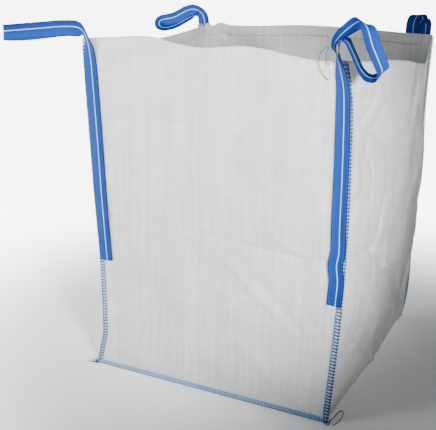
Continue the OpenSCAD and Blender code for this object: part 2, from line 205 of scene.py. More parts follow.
def srgb(*channels):
    """A screen colour, 0 to 255 in each channel, as a linear one."""
    shares = [c / 255 for c in channels]
    return tuple(c / 12.92 if c <= 0.04045 else ((c + 0.055) / 1.055) ** 2.4 for c in shares) + (1,)


class Nodes:
    """Small helper that adds and links shader nodes."""

    def __init__(self, name):
        self.material = bpy.data.materials.new(name)
        self.material.use_nodes = True
        self.tree = self.material.node_tree
        self.shader = self.tree.nodes["Principled BSDF"]

    def add(self, kind, inputs=None, **settings):
        node = self.tree.nodes.new(kind)
        for key, value in settings.items():
            setattr(node, key, value)
        for key, value in (inputs or {}).items():
            self.put(node.inputs[key], value)
        return node

    def put(self, socket, value):
        if isinstance(value, bpy.types.NodeSocket):
            self.tree.links.new(value, socket)
        else:
            socket.default_value = value

    def math(self, operation, a, b=0.0):
        return self.add("ShaderNodeMath", {0: a, 1: b}, operation=operation).outputs[0]

    def ramp(self, factor, stops):
        node = self.add("ShaderNodeValToRGB", {"Fac": factor})
        while len(node.color_ramp.elements) < len(stops):
            node.color_ramp.elements.new(0.5)
        for element, (place, value) in zip(node.color_ramp.elements, stops):
            element.position = place
            element.color = value if isinstance(value, tuple) else (value, value, value, 1)
        return node.outputs["Color"]

    def span(self, value, before, after, **settings):
        """Carries a value from one span over to another."""
        return self.add("ShaderNodeMapRange", {"Value": value, "From Min": before[0], "From Max": before[1],
                                               "To Min": after[0], "To Max": after[1]}, **settings).outputs[0]

    def streaks(self, uv, scale, detail):
        """Noise drawn out along one direction of the cloth."""
        drawn = self.add("ShaderNodeMapping", {"Vector": uv, "Scale": scale}).outputs[0]
        return self.add("ShaderNodeTexNoise", {"Vector": drawn, "Scale": 1.0, "Detail": detail}).outputs["Fac"]

    def mix(self, factor, a, b, kind="MIX"):
        node = self.add("ShaderNodeMix", data_type="RGBA", blend_type=kind)
        for socket, value in ((0, factor), (6, a), (7, b)):
            self.put(node.inputs[socket], value)
        return node.outputs[2]


def woven_cloth():
    """White woven tape cloth: flat tapes about 2.8 mm wide, with streaks along them and a slight sheen."""
    n = Nodes("woven_cloth")
    uv = n.add("ShaderNodeUVMap", uv_map="UVMap").outputs[0]
    split = n.add("ShaderNodeSeparateXYZ", {0: uv})
    tape = 2.8 * MM
    warp = n.math("MULTIPLY", split.outputs[0], 1 / tape)
    weft = n.math("MULTIPLY", split.outputs[1], 1 / tape)
    # plain weave: which tape is on top turns over in a chequer
    warp_wave = n.math("SINE", n.math("MULTIPLY", warp, math.tau / 2))
    weft_wave = n.math("SINE", n.math("MULTIPLY", weft, math.tau / 2))
    weave = n.math("MULTIPLY", warp_wave, weft_wave)
    tape_x = n.streaks(uv, (330, 4, 1), 2.0)
    tape_y = n.streaks(uv, (4, 330, 1), 2.0)
    wide_x = n.streaks(uv, (60, 1.6, 1), 3.0)
    blotch = n.add("ShaderNodeTexNoise", {"Vector": uv, "Scale": 9.0, "Detail": 3.0, "Roughness": 0.6})
    streak = n.math("ADD", n.math("ADD", tape_x, tape_y), wide_x)
    tone = n.ramp(n.math("MULTIPLY", streak, 1 / 3), [(0.41, srgb(184, 188, 192)), (0.59, srgb(236, 236, 235))])
    warmth = n.ramp(blotch.outputs["Fac"], [(0.35, srgb(204, 208, 214)), (0.65, srgb(234, 232, 229))])
    colour = n.mix(0.45, tone, warmth)
    n.put(n.shader.inputs["Base Color"], colour)
    n.put(n.shader.inputs["Roughness"], n.ramp(tape_x, [(0.3, 0.42), (0.7, 0.58)]))
    n.put(n.shader.inputs["Specular IOR Level"], 0.35)
    n.put(n.shader.inputs["Sheen Weight"], 0.12)
    relief = n.math("ADD", n.math("MULTIPLY", weave, 0.35), n.math("MULTIPLY", streak, 0.8))
    bump = n.add("ShaderNodeBump", {"Height": relief, "Strength": 0.8, "Distance": 0.0013})
    n.put(n.shader.inputs["Normal"], bump.outputs[0])
    # daylight passes through thin cloth
    glow = n.add("ShaderNodeBsdfTranslucent", {"Color": srgb(236, 234, 228), "Normal": bump.outputs[0]})
    both = n.add("ShaderNodeMixShader", {0: 0.05, 1: n.shader.outputs[0], 2: glow.outputs[0]})
    n.put(n.tree.nodes["Material Output"].inputs["Surface"], both.outputs[0])
    return n.material


def webbing_cloth():
    """Blue webbing: ribs across it, painted shade that darkens both edges and one half most, and one pale woven line
    off its middle.
    """
    n = Nodes("webbing")
    uv = n.add("ShaderNodeUVMap", uv_map="UVMap").outputs[0]
    split = n.add("ShaderNodeSeparateXYZ", {0: uv})
    across = n.math("MULTIPLY", split.outputs[0], 1 / (WEB_W * MM))
    along = split.outputs[1]
    line = n.ramp(across, [(0.0, 0.0), (0.545, 0.0), (0.56, 1.0), (0.605, 1.0), (0.62, 0.0), (1.0, 0.0)])
    # painted shade across the width: dark at both edges, and darker towards one edge than the other
    side = n.ramp(across, [(0.0, 0.25), (0.06, 0.8), (0.14, 1.0), (0.30, 0.85), (0.50, 0.72), (0.64, 0.62),
                           (0.80, 0.45), (0.93, 0.40), (1.0, 0.2)])
    rib = n.math("SINE", n.math("MULTIPLY", along, math.tau / (2.4 * MM)))
    cord = n.math("SINE", n.math("MULTIPLY", split.outputs[0], math.tau / (1.9 * MM)))
    weave = n.math("MULTIPLY", rib, cord)
    wear = n.streaks(uv, (160, 14, 1), 3.0)
    blue = n.mix(side, srgb(2, 22, 84), srgb(8, 68, 160))
    blue = n.mix(n.ramp(wear, [(0.35, 0.0), (0.8, 0.3)]), blue, srgb(16, 82, 178))
    shade = n.ramp(n.math("ADD", n.math("MULTIPLY", weave, 0.5), 0.5), [(0.0, 0.72), (1.0, 1.0)])
    blue = n.mix(1.0, blue, shade, "MULTIPLY")
    colour = n.mix(line, blue, srgb(158, 200, 238))
    n.put(n.shader.inputs["Base Color"], colour)
    n.put(n.shader.inputs["Roughness"], 0.6)
    n.put(n.shader.inputs["Specular IOR Level"], 0.2)
    relief = n.math("ADD", weave, n.math("MULTIPLY", line, 1.2))
    bump = n.add("ShaderNodeBump", {"Height": relief, "Strength": 0.5, "Distance": 0.0005})
    n.put(n.shader.inputs["Normal"], bump.outputs[0])
    return n.material


def yarn(name, dark, light, twist_mm=3.0):
    """Bulky sewing yarn: twisted along its length, with lighter fibre tips."""
    n = Nodes(name)
    place = n.add("ShaderNodeTexCoord").outputs["Object"]
    fuzz = n.add("ShaderNodeTexNoise", {"Vector": place, "Scale": 260.0, "Detail": 3.0})
    bands = 1 / (twist_mm * MM) / 6
    twist = n.add("ShaderNodeTexWave", {"Vector": place, "Scale": bands, "Distortion": 2.0, "Detail": 1.0},
                  wave_type="BANDS", bands_direction="DIAGONAL")
    mixed = n.math("MULTIPLY", n.math("ADD", fuzz.outputs["Fac"], twist.outputs["Fac"]), 0.5)
    n.put(n.shader.inputs["Base Color"], n.ramp(mixed, [(0.25, dark), (0.75, light)]))
    n.put(n.shader.inputs["Roughness"], 0.75)
    n.put(n.shader.inputs["Sheen Weight"], 0.25)
    bump = n.add("ShaderNodeBump", {"Height": mixed, "Strength": 0.5, "Distance": 0.0006})
    n.put(n.shader.inputs["Normal"], bump.outputs[0])
    return n.material


CLOTH = woven_cloth()
WEBBING = webbing_cloth()
BLUE_YARN = yarn("blue_yarn", srgb(6, 46, 104), srgb(34, 96, 160))
PALE_YARN = yarn("pale_yarn", srgb(176, 206, 228), srgb(240, 247, 252))
SKY_YARN = yarn("sky_yarn", srgb(140, 182, 220), srgb(196, 222, 244))
SOFT_YARN = yarn("soft_blue_yarn", srgb(44, 104, 168), srgb(110, 166, 214))
TAIL_YARN = yarn("tail_yarn", srgb(16, 48, 84), srgb(52, 100, 140), 2.0)
WHITE_THREAD = yarn("white_thread", srgb(206, 210, 214), srgb(244, 246, 248), 1.2)


# ---------- the woven panels ----------

CREASE_Z = [(-470, 592), (-296, 589), (-22, 577), (161, 565), (450, 553)]


def packing_crease(z, level):
    """The sharp fold line left by the way the bag was packed; cloth falls in towards it from both sides."""
    d = z - level
    return 4.0 * np.exp(-np.abs(d) / 9) + 3.5 * np.exp(-np.abs(d) / 40)


FRONT_FOLDS = [
    (-330, 120, -350, 520, 46, 5.0), (-230, 160, -250, 420, 70, -4.0), (-150, 660, -260, 1040, 80, -4.5),
    (-330, 700, -400, 1080, 36, 3.5), (60, 520, 330, 300, 20, 3.0), (150, 470, 400, 250, 26, -3.0),
    (90, 250, 330, 60, 34, 3.0), (210, 640, 420, 520, 16, 1.8), (-60, 90, 120, 30, 30, -3.0),
    (250, 900, 410, 700, 40, 2.5), (360, 1120, 300, 860, 22, -2.0), (-20, 1100, 10, 700, 90, 3.0),
    (-120, 400, -60, 140, 60, 3.0), (380, 380, 430, 140, 24, -2.5), (-400, 90, -250, 30, 24, 2.5),
]


def front_depth(x, z):
    """How far the front panel stands out from its seam plane, in millimetres."""
    left, right = table(z, EDGE_FL), table(z, EDGE_FR)
    inner = ease(x - left, 54, 130) * ease(right - x, 52, 130)  # flat under the lifting webbing
    low = ease(z, 20, 90)
    body = 9 * ripple(x, z, 3, 420) + 3 * ripple(x, z, 4, 150) + 3.0 * folds(x, z, FRONT_FOLDS)
    body = body + 6.0 * wrinkles(x, z, 71, 120, 0.5) * (0.75 + 0.25 * ease(x, 0, 250) * (1 - ease(z, 420, 620)))
    fold_line = packing_crease(z, table(x, CREASE_Z))
    body = body - 1.8 * fold_line
    # the rim leans in a little left of the middle and out towards the right corner
    top = ease(z, 1040, 1200)
    body = body + top * (9 * bell(x, -200, 120) - 12 * bell(x, 10, 150) + 5 * bell(x, 250, 110))
    rim = table(x, RIM_FRONT)
    stitched = (2.4 * bell(z, rim - HEM_LINE, 5) - 1.4 * ease(z, rim - HEM_LINE, rim - 28)) * (z > NEAR_RIM)
    fine = 0.5 * ripple(x, z, 5, 34) + 0.2 * ripple(x, z, 6, 16)
    from_seam = np.minimum(x - left, right - x)
    seam_pinch = 1.5 * bell(from_seam, FLANGE_W - 3, 5)
    crease = 2.0 * fold_line * (1 - inner) * ease(from_seam, 4, 20) * 0.5
    return inner * low * body - stitched + fine * inner - seam_pinch * ease(z, 30, 60) - crease


def corner_turn(x, z):
    """The front-right flange turns towards the viewer over the top of the bag."""
    return 8 * ease(x, 400, 480) * ease(z, 500, 1100)


def front_panel():
    """The front cloth between its two seams, and the hem folded in along its rim."""
    cols, rows = 190, 220
    u = np.linspace(0, 1, cols)[None, :]
    v = np.linspace(0, 1, rows)[:, None]
    rim_left, rim_right = table(1190, EDGE_FL), table(1180, EDGE_FR)
    top = table(rim_left + u * (rim_right - rim_left), RIM_FRONT)
    z = v * top
    x = table(z, EDGE_FL) + u * (table(z, EDGE_FR) - table(z, EDGE_FL))
    y = -HALF_D - PANEL_OUT - front_depth(x, z) - corner_turn(x, z)
    points = np.stack([x, y + 0 * x, z + 0 * x], 2)
    uvs = np.stack([x + UV_FRONT, z + 0 * x], 2)
    panel = cloth_sheet("front_panel_cloth", points, uvs, False, CLOTH)
    # the rim is folded in: a second layer inside, down to the hem stitches
    hem_u = np.linspace(0.05, 0.93, 150)[None, :]
    hem_v = np.linspace(0, 1, 9)[:, None]
    hx = rim_left + hem_u * (rim_right - rim_left) + 0 * hem_v
    hz = table(hx, RIM_FRONT) - 0.6 - HEM_H * (1 - hem_v)
    hy = -HALF_D - PANEL_OUT - front_depth(hx, hz) - corner_turn(hx, hz) + 1.6 + 1.4 * np.sin(hem_v * math.pi)
    hem = cloth_sheet("front_hem_cloth", np.stack([hx, hy, hz], 2), np.stack([hx + UV_FRONT, hz + 40], 2), True, CLOTH)
    return panel, hem


BACK_FOLDS = [(-300, 300, -260, 900, 90, 6), (120, 200, 160, 700, 80, -5), (385, 1180, 385, 980, 9, -5),
              (-440, 1170, -330, 1020, 20, -5), (-460, 1100, -360, 1150, 16, 4), (300, 1160, 340, 900, 40, 4)]


def back_depth(x, z):
    """How far the back panel stands out from its seam plane."""
    left, right = table(z, EDGE_BL), table(z, EDGE_BR)
    inner = ease(x - left, 54, 130) * ease(right - x, 96, 170)
    body = 9 * ripple(x, z, 13, 460) + 3.5 * wrinkles(x, z, 95, 150, -0.3) + 1.6 * folds(x, z, BACK_FOLDS)
    body = body - packing_crease(z, CREASE_BACK)
    stitched = 1.2 * bell(z, table(x, RIM_BACK) - HEM_LINE, 5) * (z > NEAR_RIM)
    return inner * ease(z, 20, 90) * body - stitched + 0.3 * inner * ripple(x, z, 15, 34)


def back_panel():
    """The back cloth between its two seams, and the hem folded in along its rim."""
    cols, rows = 150, 180
    u = np.linspace(0, 1, cols)[None, :]
    v = np.linspace(0, 1, rows)[:, None]
    rim_left, rim_right = table(1180, EDGE_BL), table(1180, EDGE_BR)
    top = table(rim_left + u * (rim_right - rim_left), RIM_BACK)
    z = v * top
    x = table(z, EDGE_BL) + u * (table(z, EDGE_BR) - table(z, EDGE_BL))
    y = HALF_D + PANEL_OUT + back_depth(x, z)
    panel = cloth_sheet("back_panel_cloth", np.stack([x, y, z + 0 * x], 2),
                        np.stack([x + UV_BACK, z + 0 * x], 2), True, CLOTH)
    hem_u = np.linspace(0.03, 0.965, 130)[None, :]
    hem_v = np.linspace(0, 1, 9)[:, None]
    hx = rim_left + hem_u * (rim_right - rim_left) + 0 * hem_v
    hz = table(hx, RIM_BACK) - 0.6 - BACK_HEM_H * (1 - hem_v)
    hy = HALF_D + PANEL_OUT + back_depth(hx, hz) - 1.6 - 1.2 * np.sin(hem_v * math.pi)
    hem = cloth_sheet("back_hem_cloth", np.stack([hx, hy, hz], 2), np.stack([hx + UV_BACK, hz + 40], 2), False, CLOTH)
    return panel, hem


RIDGE_T = [(0, 0.30), (490, 0.30), (690, 0.36), (850, 0.44), (1020, 0.50), (1180, 0.52)]
WALL_FOLDS = [
    (160, 1110, 10, 930, 20, -11.0), (0, 960, -60, 700, 26, -10.0), (-60, 760, -90, 420, 40, -7.0),
    (240, 1000, 170, 660, 16, 10.0), (250, 1120, 230, 300, 24, -9.0), (340, 900, 330, 300, 20, 6.0),
    (-330, 620, -60, 330, 18, -4.0), (-380, 520, -180, 260, 14, 3.5), (-400, 330, -120, 90, 16, -4.5),
    (-330, 210, -60, 60, 18, 4.5), (-260, 1080, -160, 900, 30, 3.0), (-400, 1010, -250, 930, 16, -2.5),
    (-60, 420, 200, 180, 18, -5.0), (60, 360, 300, 120, 16, 4.5), (-200, 480, 60, 420, 12, 3.5),
]


def right_bow(y, z):
    """How far the right wall stands out from the line between its two seams."""
    t = np.clip((y + HALF_D) / (2 * HALF_D), 0, 1)
    ridge = table(z, RIDGE_T)
    front = 1 - (1 - np.clip(t / ridge, 0, 1)) ** 1.7
    rear = 1 - np.clip((t - ridge) / (1 - ridge), 0, 1) ** 1.25
    size = table(z, [(0, 20), (120, 34), (420, 54), (700, 60), (1000, 52), (1180, 44)])
    inner = ease(HALF_D - np.abs(y), 0, 70)
    body = 2.6 * folds(y, z, WALL_FOLDS) + 5 * ripple(y, z, 23, 260) + 12 * wrinkles(y, z, 81, 120, 0.3, 3.0)
    body = body + 7.0 * wrinkles(y, z, 85, 70, -0.6) * (1 - ease(z, 380, 560))
    body = body - 1.6 * packing_crease(z, CREASE_BACK + 0.03 * y)
    return size * np.where(t < ridge, front, rear) + inner * ease(z, 10, 80) * body


def left_bow(y, z):
    """The left wall sags a little inwards."""
    inner = ease(HALF_D - np.abs(y), 0, 80)
    body = -12 + 8 * ripple(y, z, 33, 420) + 4 * wrinkles(y, z, 91, 150, 0.3)
    return inner * ease(z, 10, 80) * (body - 0.8 * packing_crease(z, CREASE_LEFT))


def wall_x(side, y, z):
    """Where a side wall lies at a depth and a height; side is -1 on the left and 1 on the right."""
    t = (y + HALF_D) / (2 * HALF_D)
    if side < 0:
        return table(z, EDGE_FL) * (1 - t) + table(z, EDGE_BL) * t + FLANGE_W - left_bow(y, z)
    return table(z, EDGE_FR) * (1 - t) + (table(z, EDGE_BR) + BACK_TURN) * t - FLANGE_W + right_bow(y, z)


def wall_depths(n):
    """Places across a wall, closer together near the two seams."""
    t = np.linspace(-1, 1, n)
    return (0.75 * t + 0.25 * np.sin(t * math.pi / 2)) * (HALF_D - 1)


def u_panel():
    """Left wall, base and right wall in one length, with the flanges that are sewn to the front and back panels."""
    y = wall_depths(150)
    shares = np.concatenate([np.linspace(1, 0.12, 130), np.linspace(0.11, 0.02, 18)])  # heights, from the rim down
    base_x = np.linspace(-1, 1, 70)

    def station(points_z, points_x, front_tip, back_tip):
        """One line of the cloth from front to back, with the two flanges at its ends."""
        body = np.stack([points_x, y, points_z], 1)
        body[0, 1], body[-1, 1] = -HALF_D + FLANGE_IN, HALF_D - FLANGE_IN
        mid_f = (np.array(front_tip) + body[0]) / 2
        mid_b = (np.array(back_tip) + body[-1]) / 2
        return np.vstack([front_tip, mid_f, body, mid_b, back_tip])

    def wall(side, s):
        z = s * table(y, RIM_LEFT if side < 0 else RIM_RIGHT)
        x = wall_x(side, y, z)
        edge_front, edge_back = (EDGE_FL, EDGE_BL) if side < 0 else (EDGE_FR, EDGE_BR)
        turned = FLANGE_W - 1 if side > 0 else 0  # the back-right flange lies turned to the back
        return station(z, x, [table(z[0], edge_front) - side * 1.5, -HALF_D + FLANGE_IN, z[0]],
                       [table(z[-1], edge_back) - side * 1.5, HALF_D - FLANGE_IN + turned, z[-1]])

    def base(b):
        hem = ease(HALF_D - np.abs(y), 0, 55)
        roll = ease(1 - abs(b), 0, 0.06)
        z = FLANGE_W * (1 - hem) * roll + 1.2 + 8 * (1 - roll) * hem + 6 * (1 - roll) * (1 - hem)
        x_front = table(0, EDGE_FL if b < 0 else EDGE_FR) * abs(b)
        x_back = table(0, EDGE_BL if b < 0 else EDGE_BR) * abs(b)
        t = (y + HALF_D) / (2 * HALF_D)
        x = (x_front * (1 - t) + x_back * t) - np.sign(b) * FLANGE_W * (1 - hem) * abs(b) ** 8
        x = x - np.sign(b) * 3 * abs(b)
        z = z + roll * hem * np.maximum(0, 1.2 * ripple(x, y, 44, 160))
        return station(z, x, [x[0], -HALF_D + FLANGE_IN, 0.8], [x[-1], HALF_D - FLANGE_IN, 0.8])

    stations = [wall(-1, s) for s in shares] + [base(b) for b in base_x] + [wall(1, s) for s in shares[::-1]]
    points = np.stack(stations)
    step = np.linalg.norm(np.diff(points[:, points.shape[1] // 2], axis=0), axis=1)
    along = np.concatenate([[0], np.cumsum(step)])
    uvs = np.stack([np.broadcast_to(points[:, :, 1] + UV_WALLS, points.shape[:2]),
                    np.broadcast_to(along[:, None], points.shape[:2])], 2)
    panel = cloth_sheet("u_panel_cloth", points, uvs, True, CLOTH)
    hems = []
    for side, rim, name in ((-1, RIM_LEFT, "left_hem_cloth"), (1, RIM_RIGHT, "right_hem_cloth")):
        hy = np.linspace(-HALF_D + 34, HALF_D - 34, 130)[None, :]
        hv = np.linspace(0, 1, 9)[:, None]
        share = 1 - HEM_H / BAG_H * (1 - hv)
        hz = share * table(hy, rim) - 0.6
        hx = wall_x(side, hy + 0 * hv, hz) - side * (1.6 + 1.2 * np.sin(hv * math.pi))
        hems.append(cloth_sheet(name, np.stack([hx, hy + 0 * hv, hz], 2),
                                np.stack([hy + UV_WALLS + 0 * hv, hz + 40], 2), side < 0, CLOTH))
    return panel, hems


# ---------- threads ----------

def distances(points):
    """How far along a path each of its points lies."""
    return np.concatenate([[0], np.cumsum(np.linalg.norm(np.diff(points, axis=0), axis=1))])


def path_of(points):
    """A path's points and its length."""
    points = np.asarray(points, float)
    return points, float(np.sum(np.linalg.norm(np.diff(points, axis=0), axis=1)))


def headings_along(path):
    """Unit headings along a path of points."""
    path = np.asarray(path, float)
    step = np.gradient(path, axis=0)
    return step / np.linalg.norm(step, axis=1)[:, None]


class Strands:
    """Collects many short yarn tubes in one mesh."""

    def __init__(self):
        self.verts, self.faces, self.slots, self.caps, self.count = [], [], [], [], 0

    def tube(self, path, radius, slot=0, sides=6, flat=1.0, flat_axis=None, lens=False):
        """One yarn along a path; flat squashes it, and a lens thins out to both ends."""
        path = np.asarray(path, float)
        heading = headings_along(path)
        up = np.array(flat_axis if flat_axis is not None else (0.31, 0.17, 0.93), float)
        u = np.cross(heading, up)
        u = u / np.linalg.norm(u, axis=1)[:, None]
        v = np.cross(heading, u)
        n = len(path)
        taper = np.ones(n)
        taper[[0, -1]] = 0.55
        if lens:
            taper = 0.25 + 0.75 * np.sin(np.linspace(0, math.pi, n))
        for k in range(sides):
            a = math.tau * k / sides
            self.verts.append(path + (radius * taper)[:, None] * (math.cos(a) * u + flat * math.sin(a) * v))
        i = np.arange(n - 1)
        for k in range(sides):
            a, b = self.count + k * n + i, self.count + (k + 1) % sides * n + i
            self.faces.append(np.stack([a, a + 1, b + 1, b], 1))
            self.slots += [slot] * (n - 1)
        ends = np.array([self.count + k * n for k in range(sides)])
        self.caps += [(tuple(ends), slot), (tuple(ends[::-1] + n - 1), slot)]
        self.count += n * sides

    def stitches(self, path, pitch, reach, rise, radius):
        """Sewing stitches in a row along a path; rise moves each point of a stitch off the cloth."""
        points, length = path_of(path)
        s = distances(points)
        for i in range(int(length / pitch)):
            d = i * pitch + np.linspace(0, reach, len(rise))
            line = np.stack([np.interp(d, s, points[:, k]) for k in range(3)], 1)
            self.tube(line + rise, radius, 0, 5)

    def build(self, name, materials):
        faces = [tuple(f) for block in self.faces for f in block] + [c[0] for c in self.caps]
        slots = self.slots + [c[1] for c in self.caps]
        return new_mesh(name, np.vstack(self.verts), faces, None, materials, slots)


def overlock(name, edge, inward, face, pitch, width=16.0, lean=2.5, yarn_kind=None):
    """Bulky overlock stitches round a seam edge: blue loops, white ticks between them and a chain along each side."""
    strands = Strands()
    points, length = edge
    s = distances(points)
    inward, face = np.array(inward, float), np.array(face, float)
    rng = np.random.default_rng(len(name))
    half = CLOTH_T + 0.5

    def at(d):
        return np.array([np.interp(d, s, points[:, k]) for k in range(3)])

    def strand(q, radius, slot, shape, flat, lens=False):
        q = min(max(q, 1), length - 1)
        heading = at(q + 1) - at(q - 1)
        w = width + rng.uniform(-0.6, 0.6)
        loop = [at(min(max(q + shift * lean, 0), length)) + inward * w * inside + face * out * half
                for inside, out, shift in shape]
        strands.tube(loop, radius, slot, 6, flat, flat_axis=heading / np.linalg.norm(heading), lens=lens)

    around = ((1.0, 0.8, 1.0), (0.7, 1.1, 0.6), (0.35, 1.15, 0.2), (0.06, 1.05, 0), (-0.06, 0.3, 0), (-0.06, -0.3, 0),
              (0.06, -1.05, 0), (0.4, -1.15, 0.3), (0.8, -1.0, 0.7))
    for i in range(int(length / pitch)):
        d = (i + 0.5) * pitch + rng.uniform(-0.5, 0.5)
        strand(d, 0.27 * pitch, 0, around, 0.34)
        strand(d + 0.22 * pitch, 0.2 * pitch, 0, around, 0.3)
        for side in (1, -1):
            tick = [(inside, side * out, inside)
                    for inside, out in ((0.93, 1.0), (0.72, 1.45), (0.5, 1.6), (0.28, 1.45), (0.06, 1.1))]
            strand(d + 0.62 * pitch, 0.27 * pitch, 1, tick, 0.42, lens=True)
    n = int(length / (pitch / 4))
    d = np.linspace(0, length, n)
    wave = d / pitch * math.tau
    spine = np.array([at(q) for q in d])
    for side in (1, -1):
        for place, radius, slot, out in ((width, 1.3, 0, 0.4), (1.2, 1.3, 0, 0.7), (width + 3.6, 2.2, 2, -0.6)):
            line = spine + inward * (place + 0.5 * np.sin(wave)[:, None]) \
                + face * side * (half + out + 0.25 * np.cos(wave)[:, None])
            strands.tube(line, radius, slot, 6)
    return strands.build(name, [yarn_kind or BLUE_YARN, PALE_YARN, SKY_YARN])


def seam_threads():
    """The overlock yarn round the four corner seams and along the two bottom ones."""
    made = {}
    for corner, table_rows, side, y, turn in (
            ("front_left", EDGE_FL, 1, -HALF_D, 0), ("front_right", EDGE_FR, -1, -HALF_D, 1),
            ("back_left", EDGE_BL, 1, HALF_D, 0), ("back_right", EDGE_BR, -1, HALF_D, 0)):
        z = np.linspace(14, 1176, 150)
        x = table(z, table_rows)
        yy = y - (corner_turn(x, z) if turn else 0 * z)
        inward, face = (side, 0, 0), (0, -1 if y < 0 else 1, 0)
        if corner == "back_right":  # this flange lies turned to the back
            x, yy, inward, face = x - 1, yy + FLANGE_W - 1, (0, -1, 0), (1, 0, 0)
        made[corner] = overlock("overlock_yarn_" + corner, path_of(np.stack([x, yy, z], 1)), inward, face, 11.5)
    for place, left, right, y in (("front_bottom", EDGE_FL, EDGE_FR, -HALF_D),
                                  ("back_bottom", EDGE_BL, EDGE_BR, HALF_D)):
        x = np.linspace(table(0, left) + 4, table(0, right) - 4, 60)
        edge = np.stack([x, y + 0 * x, 1.4 + 0 * x], 1)
        made[place] = overlock("overlock_yarn_" + place, path_of(edge), (0, 0, 1), (0, -1 if y < 0 else 1, 0), 8.5,
                               width=15, lean=1.0, yarn_kind=SOFT_YARN)
    return made


def seam_ends():
    """The chained-off ends of the seam yarn, bunched up at the two front corners."""
    strands = Strands()
    for x, seed in ((-452, 61), (456, 62)):
        rng = np.random.default_rng(seed)
        for _ in range(7):
            middle = np.array([x, -458, 8]) + rng.uniform(-1, 1, 3) * (7, 4, 3)
            u, v = rng.normal(size=3), rng.normal(size=3)
            u = u / np.linalg.norm(u)
            v = np.cross(u, v) / np.linalg.norm(np.cross(u, v))
            a = np.linspace(0, 1.8 * math.pi, 14)[:, None]
            loop = middle + 8 * np.cos(a) * u + 5 * np.sin(a) * v
            loop[:, 2] = np.maximum(loop[:, 2], 2)
            strands.tube(loop, 1.5, 0, 6)
    return strands.build("seam_yarn_ends", [BLUE_YARN])


def dashes(name, path, stitch, gap, radius, material, lift):
    """A line of sewing stitches: short threads that dip into the cloth at both ends."""
    strands = Strands()
    dip = np.array([-0.5, 0.55, 0.8, 0.55, -0.5])
    strands.stitches(path, stitch + gap, stitch, np.array(lift, float) * (dip * radius)[:, None], radius)
    return strands.build(name, [material])


def hem_threads():
    """The white stitches that hold the folded rim of each panel."""
    made = {}

    def stitch_line(place, path, lift):
        made[place] = dashes("hem_stitches_" + place, np.stack(path, 1), 7, 3, 0.6, WHITE_THREAD, lift)

    x = np.linspace(-400, 400, 160)
    z = table(x, RIM_FRONT) - (HEM_LINE - 1)
    stitch_line("front", [x, -HALF_D - 1.4 - front_depth(x, z) - corner_turn(x, z), z], (0, -1, 0))
    x = np.linspace(-440, 400, 160)
    z = table(x, RIM_BACK) - HEM_LINE
    stitch_line("back", [x, HALF_D + 1.4 + back_depth(x, z), z], (0, 1, 0))
    for side, rim, place in ((-1, RIM_LEFT, "left"), (1, RIM_RIGHT, "right")):
        y = np.linspace(-400, 400, 160)
        z = table(y, rim) - (HEM_LINE - 1)
        stitch_line(place, [wall_x(side, y, z) + side * 0.7, y, z], (side, 0, 0))
    return made


# ---------- lifting webbing ----------
# Each route starts at the lower end of the first sewn leg, goes round the eye and down the second leg.
# A point is [x, y, z] and then the direction of the webbing's width.

FL_LEG = [(-396, -456, 420, 1, 0, 0), (-411, -456, 640, 1, 0, 0), (-420, -456, 820, 1, 0, 0),
          (-430, -456, 1000, 1, 0, 0), (-437, -456, 1110, 1, 0, 0), (-441, -458, 1160, 0.96, -0.2, 0)]
FL_EYE = [(-444, -463, 1194, 0.74, -0.6, 0.3), (-450, -469, 1216, 0.45, -0.65, 0.6),
          (-467, -476, 1227, 0.1, -0.25, 0.96), (-492, -488, 1229, -0.05, 0.1, 1), (-527, -505, 1228, -0.05, 0.1, 1),
          (-565, -524, 1224, -0.05, 0.1, 1), (-625, -556, 1218, -0.05, 0.1, 1), (-675, -584, 1213, -0.05, 0.1, 1),
          (-690, -583, 1211, -0.05, 0.1, 1), (-684, -568, 1208, -0.05, 0.1, 1), (-637, -537, 1209, -0.05, 0.1, 1),
          (-579, -505, 1216, -0.05, 0.1, 1), (-532, -482, 1223, -0.05, 0.1, 1), (-494, -472, 1225, 0, 0.05, 1),
          (-468, -470, 1222, 0.1, -0.25, 0.96), (-451, -465, 1211, 0.45, -0.65, 0.6),
          (-444, -459, 1192, 0.74, -0.6, 0.3)]
FR_LEG = [(455, -456, 420, 1, 0, 0), (459, -456.5, 500, 1, 0, 0), (453, -456, 554, 1, 0.02, 0),
          (459, -458, 604, 1, -0.04, 0), (457, -459, 680, 1, -0.06, 0), (456, -461.5, 860, 1, -0.12, 0),
          (452, -464, 1030, 0.99, -0.2, 0), (448, -466, 1100, 0.95, -0.36, 0)]
FR_EYE = [(442, -471.5, 1140, 0.8, -0.55, 0.2), (436, -475, 1168, 0.6, -0.75, 0.25),
          (429, -475.5, 1194, 0.35, -0.9, 0.2), (419, -473, 1214, 0.1, -0.97, 0.2),
          (423, -476, 1234, 0.12, -0.9, 0.4), (441, -484, 1254, 0.12, -0.84, 0.5),
          (476, -505, 1280, -0.04, -0.81, 0.58), (510, -525, 1297, -0.5, -0.68, 0.53),
          (535, -538, 1280, -0.65, -0.75, 0.05), (553, -546, 1240, -0.56, -0.8, -0.2),
          (572, -546, 1202, -0.53, -0.82, -0.25), (583, -541, 1172, -0.4, -0.85, -0.3),
          (568, -530, 1153, 0.1, -0.9, -0.4), (538, -518, 1150, 0.25, -0.93, -0.3), (510, -505, 1167, 0.05, -1, -0.1),
          (486, -494, 1202, -0.05, -1, 0), (462, -485, 1236, 0.1, -0.97, -0.15), (444, -479, 1240, 0.2, -0.95, -0.1),
          (434, -474, 1225, 0.25, -0.92, 0.1), (434, -472.5, 1196, 0.4, -0.88, 0.2),
          (439, -472, 1168, 0.62, -0.74, 0.22), (444, -468.5, 1140, 0.8, -0.55, 0.2)]
BL_LEG = [(-440, 453.4, 420, 1, 0, 0), (-450, 453.4, 640, 1, 0, 0), (-465, 453.4, 860, 1, 0, 0),
          (-480, 453.4, 1060, 1, 0, 0), (-487, 454, 1120, 1, 0, 0), (-489, 455, 1165, 1, 0, 0.05)]
